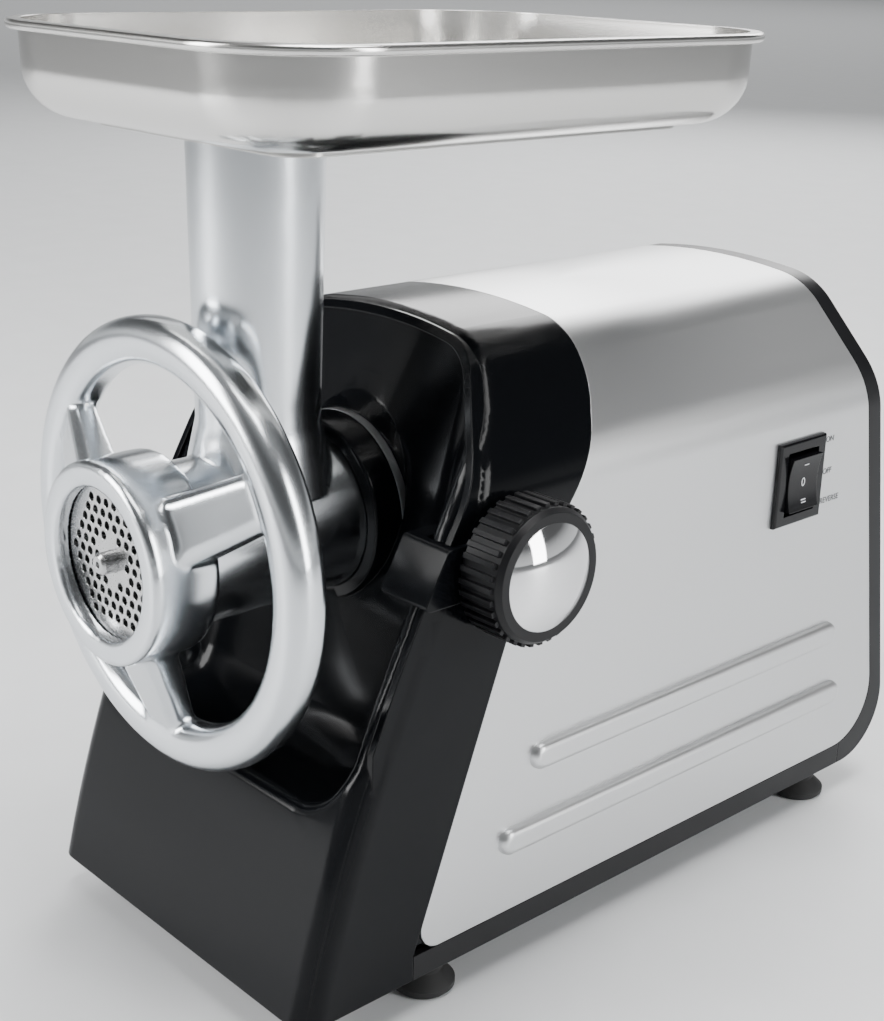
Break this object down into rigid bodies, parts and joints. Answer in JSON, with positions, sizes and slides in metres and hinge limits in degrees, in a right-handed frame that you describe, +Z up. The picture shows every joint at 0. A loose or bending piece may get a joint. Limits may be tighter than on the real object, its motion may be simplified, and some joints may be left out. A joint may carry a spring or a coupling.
{
  "type": "electric meat grinder",
  "caption": "Table-top electric meat grinder: steel-clad motor housing, front grinding head with ring wheel and feed tube, tray on top, side lock knob and rocker switch.",
  "frame": {"origin": "bottom centre of the whole machine's box, on the surface that the feet stand on", "axes": "+X towards the side with the lock knob and the switch, +Y towards the back, +Z up"},
  "size_m": [0.2028, 0.3816, 0.3529],
  "materials": {
    "black_gloss": "high gloss moulded",
    "black_satin": "fine moulded satin",
    "switch_black": "satin moulded",
    "brushed_cover": "fine brushed stainless",
    "polished_tray": "bright polished stainless",
    "cast_head": "polished casting",
    "cutting_steel": "ground",
    "worm_casting": "cast, satin",
    "chrome": "mirror chrome",
    "foot_rubber": "matte",
    "zinc_screws": "zinc plated",
    "bearing_bronze": "sintered",
    "case_alloy": "die cast",
    "gear_steel": "machined",
    "gear_nylon": "moulded nylon",
    "lamination": "stacked sheet",
    "copper": "enamelled wire",
    "carbon": "pressed carbon"
  },
  "bodies": {
    "housing": {"base_plate": "black_satin", "carbon_brushes": "carbon", "cord_inlet": "black_satin", "field_coils": "copper", "foot_screws": "zinc_screws", "front_bracket": "case_alloy", "front_shell": "black_gloss", "gear_case": "case_alloy", "gear_lid": "case_alloy", "head_socket": "case_alloy", "lid_screws": "zinc_screws", "lock_saddle": "black_gloss", "motor_bearings": "bearing_bronze", "motor_stator": "lamination", "output_bearing": "bearing_bronze", "rear_bracket": "case_alloy", "rear_cover": "black_satin", "rear_screws": "zinc_screws", "rubber_feet": "foot_rubber", "steel_cover": "brushed_cover", "switch_body": "switch_black", "switch_frame": "switch_black", "terminal_block": "gear_nylon"},
    "lock_pad": {"lock_pad": "foot_rubber"},
    "lock_knob": {"lock_knob": "black_satin", "knob_cap": "chrome", "lock_screw": "zinc_screws"},
    "head": {"head_barrel": "cast_head", "worm_bush": "bearing_bronze"},
    "tray": {"hopper_tray": "polished_tray", "tray_spigot": "polished_tray"},
    "worm": {"worm": "worm_casting", "worm_pin": "cutting_steel", "knife": "cutting_steel"},
    "plate": {"cutting_plate": "cutting_steel"},
    "ring_wheel": {"ring_wheel": "cast_head"},
    "rocker": {"switch_rocker": "switch_black"},
    "output": {"output_shaft": "gear_steel", "output_gear": "gear_steel"},
    "second_layshaft": {"second_shaft": "gear_steel", "second_gear": "gear_steel", "second_pinion": "gear_steel"},
    "first_layshaft": {"first_shaft": "gear_steel", "first_gear": "gear_nylon", "first_pinion": "gear_steel"},
    "motor_rotor": {"motor_shaft": "gear_steel", "motor_rotor": "lamination", "commutator": "copper", "cooling_fan": "gear_nylon", "motor_pinion": "gear_steel"}
  },
  "joints": [
    {"name": "lock_screw_travel", "type": "slide", "parent": "housing", "child": "lock_pad", "axis": [1, 0, 0], "range_m": [0, 0.0045]},
    {"name": "lock_knob_turn", "type": "hinge", "parent": "lock_pad", "child": "lock_knob", "pos_m": [-0.01015, -0.07522, 0.1746], "axis": [1, 0, 0], "range_deg": [0, 540]},
    {"name": "head_pull", "type": "slide", "parent": "housing", "child": "head", "axis": [0, -1, 0], "range_m": [0, 0.045]},
    {"name": "tray_lift", "type": "slide", "parent": "head", "child": "tray", "axis": [0, 0, 1], "range_m": [0, 0.05]},
    {"name": "worm_spin", "type": "hinge", "parent": "head", "child": "worm", "pos_m": [-0.01015, -0.13082, 0.1746], "axis": [0, 1, 0], "continuous": true},
    {"name": "plate_travel", "type": "slide", "parent": "head", "child": "plate", "axis": [0, -1, 0], "range_m": [0, 0.006]},
    {"name": "ring_turn", "type": "hinge", "parent": "plate", "child": "ring_wheel", "pos_m": [-0.01015, -0.17082, 0.1746], "axis": [0, 1, 0], "range_deg": [0, 720]},
    {"name": "rocker_tilt", "type": "hinge", "parent": "housing", "child": "rocker", "pos_m": [0.07115, 0.09998, 0.1688], "axis": [0, 1, 0], "range_deg": [-12, 12]},
    {"name": "output_spin", "type": "hinge", "parent": "housing", "child": "output", "pos_m": [-0.01015, -0.05082, 0.1746], "axis": [0, 1, 0], "continuous": true},
    {"name": "second_layshaft_spin", "type": "hinge", "parent": "housing", "child": "second_layshaft", "pos_m": [-0.04528, -0.05082, 0.13559], "axis": [0, 1, 0], "continuous": true},
    {"name": "first_layshaft_spin", "type": "hinge", "parent": "housing", "child": "first_layshaft", "pos_m": [-0.04523, -0.05082, 0.09809], "axis": [0, 1, 0], "continuous": true},
    {"name": "motor_spin", "type": "hinge", "parent": "housing", "child": "motor_rotor", "pos_m": [-0.01015, 0.04918, 0.09], "axis": [0, 1, 0], "continuous": true}
  ],
  "couplings": [
    {"joint": "lock_screw_travel", "follows": "lock_knob_turn", "m_per_rad": 0.00047746},
    {"joint": "plate_travel", "follows": "ring_turn", "m_per_rad": 0.00047746},
    {"joint": "first_layshaft_spin", "follows": "motor_spin", "ratio": -0.2},
    {"joint": "second_layshaft_spin", "follows": "motor_spin", "ratio": 0.05},
    {"joint": "output_spin", "follows": "motor_spin", "ratio": -0.0125},
    {"joint": "worm_spin", "follows": "motor_spin", "ratio": -0.0125}
  ]
}
